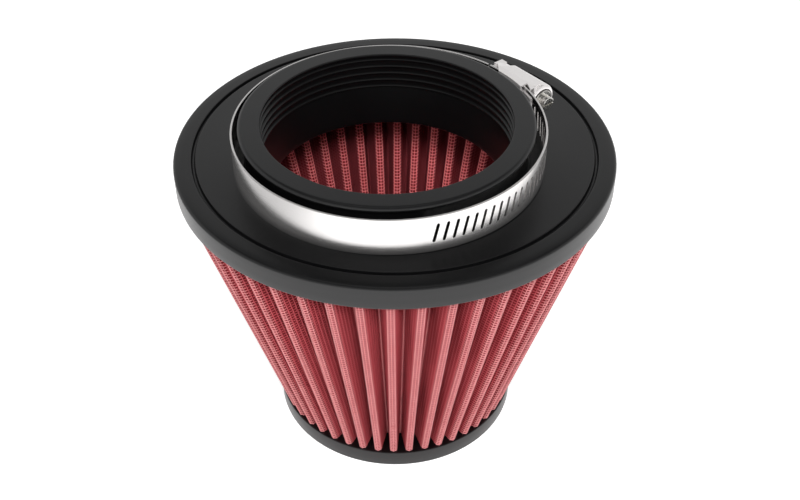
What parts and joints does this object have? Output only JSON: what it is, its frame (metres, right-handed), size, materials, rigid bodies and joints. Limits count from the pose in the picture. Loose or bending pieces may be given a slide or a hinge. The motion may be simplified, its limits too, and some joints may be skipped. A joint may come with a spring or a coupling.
{
  "type": "cone air filter",
  "caption": "Clamp-on air filter with a pleated red mesh cone, a wide black rubber flange with a short neck set off centre, a rubber end cap and a worm-drive hose clamp.",
  "frame": {"origin": "centre of the end cap's underside, on the axis of the cone and the flange rim", "axes": "+Z along the cone's axis towards the neck; -Y is the side to which the neck is set off centre; +X follows from those"},
  "size_m": [0.16, 0.16, 0.1373],
  "materials": {
    "rubber": "moulded black rubber, smooth, soft gloss",
    "screen": "fine wire mesh, pink where the red dye shows through",
    "gauze": "oiled red cotton gauze",
    "band": "rolled stainless strip, bright",
    "housing": "pressed sheet, satin",
    "screw": "zinc-plated, satin"
  },
  "bodies": {
    "filter": {"flange_cap": "rubber", "end_cap": "rubber", "outer_screen": "screen", "cotton_media": "gauze", "inner_screen": "screen", "clamp_band": "band", "clamp_saddle": "band", "clamp_housing": "housing"},
    "screw": {"clamp_screw": "screw"}
  },
  "joints": [
    {"name": "screw_turn", "type": "hinge", "parent": "filter", "child": "screw", "pos_m": [0.03448, 0.04147, 0.12851], "axis": [0.829, -0.5592, 0], "continuous": true}
  ]
}
